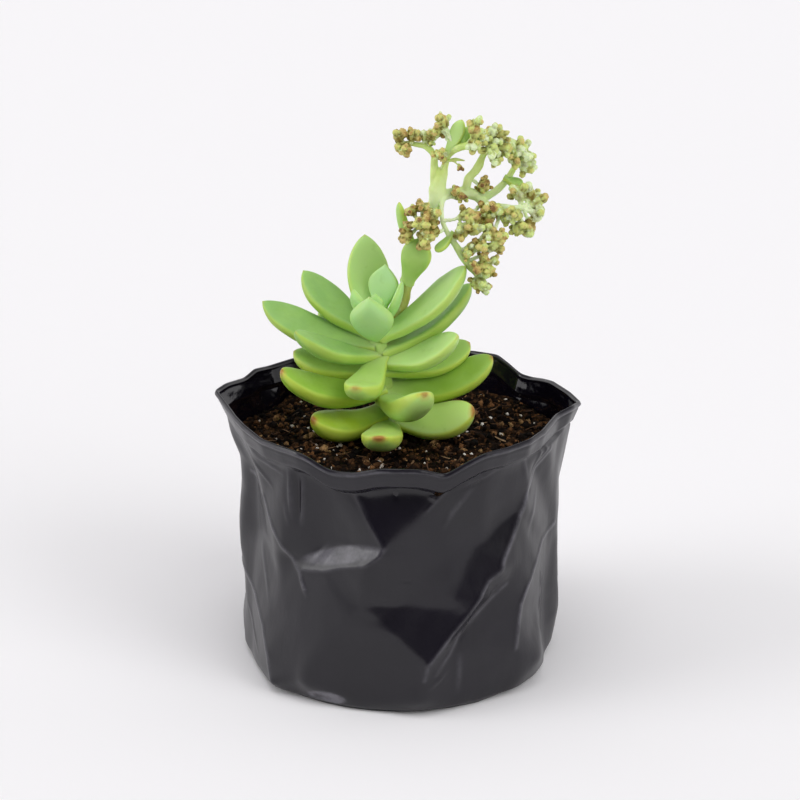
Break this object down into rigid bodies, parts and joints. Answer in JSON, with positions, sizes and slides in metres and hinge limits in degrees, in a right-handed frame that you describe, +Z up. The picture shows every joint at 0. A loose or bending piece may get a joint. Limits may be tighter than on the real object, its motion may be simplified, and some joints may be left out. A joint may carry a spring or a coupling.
{
  "type": "succulent in grow bag",
  "caption": "Living stonecrop succulent with fleshy leaves and a leaning branched flower head, potted in dark soil in a crumpled black film grow bag.",
  "frame": {"origin": "middle of the bag's flat foot, where it stands on a surface", "axes": "+Z up along the bag's axis; -Y is the front, towards which the lowest leaf points; +X is right, towards which the flower head leans"},
  "size_m": [0.1137, 0.1064, 0.1739],
  "materials": {
    "film": "black polyethylene film, satin, creased",
    "soil": "dark crumbly potting mix with white perlite grains",
    "stem": "smooth green stem",
    "leaf": "waxy fleshy green, paler in the heart, brown-red points",
    "stalk": "smooth yellow-green flower stalk",
    "bud": "olive and brown drying flower buds"
  },
  "bodies": {
    "root": {"grow_bag": "film", "potting_soil": "soil", "stem": "stem", "leaf_low_1": "leaf", "leaf_low_2": "leaf", "leaf_low_3": "leaf", "leaf_low_4": "leaf", "leaf_mid_1": "leaf", "leaf_mid_2": "leaf", "leaf_mid_3": "leaf", "leaf_mid_4": "leaf", "leaf_mid_5": "leaf", "leaf_mid_6": "leaf", "leaf_mid_7": "leaf", "leaf_mid_8": "leaf", "leaf_top_1": "leaf", "leaf_top_2": "leaf", "leaf_top_3": "leaf", "leaf_top_4": "leaf", "leaf_top_5": "leaf", "leaf_top_6": "leaf", "leaf_top_7": "leaf", "leaf_top_8": "leaf", "leaf_top_9": "leaf", "leaf_top_10": "leaf", "leaf_heart_1": "leaf", "leaf_heart_2": "leaf", "leaf_heart_3": "leaf", "leaf_heart_4": "leaf", "leaf_heart_5": "leaf", "flower_stalk": "stalk", "branch_top_left": "stalk", "branch_top_right": "stalk", "branch_right": "stalk", "branch_rising": "stalk", "branch_outer": "stalk", "branch_drooping": "stalk", "branch_left": "stalk", "bract_clasping": "leaf", "bract_slim": "leaf", "bract_top": "leaf", "bract_top_right": "leaf", "bract_outer": "leaf", "bract_inner": "leaf", "buds_top_left": "bud", "buds_top_middle": "bud", "buds_top": "bud", "buds_top_right": "bud", "buds_crown": "bud", "buds_outer": "bud", "buds_inner": "bud", "buds_fork": "bud", "buds_elbow": "bud", "buds_left": "bud", "buds_right_low": "bud", "buds_right": "bud", "buds_curve_upper": "bud", "buds_curve_middle": "bud", "buds_curve_low": "bud"}
  },
  "joints": []
}
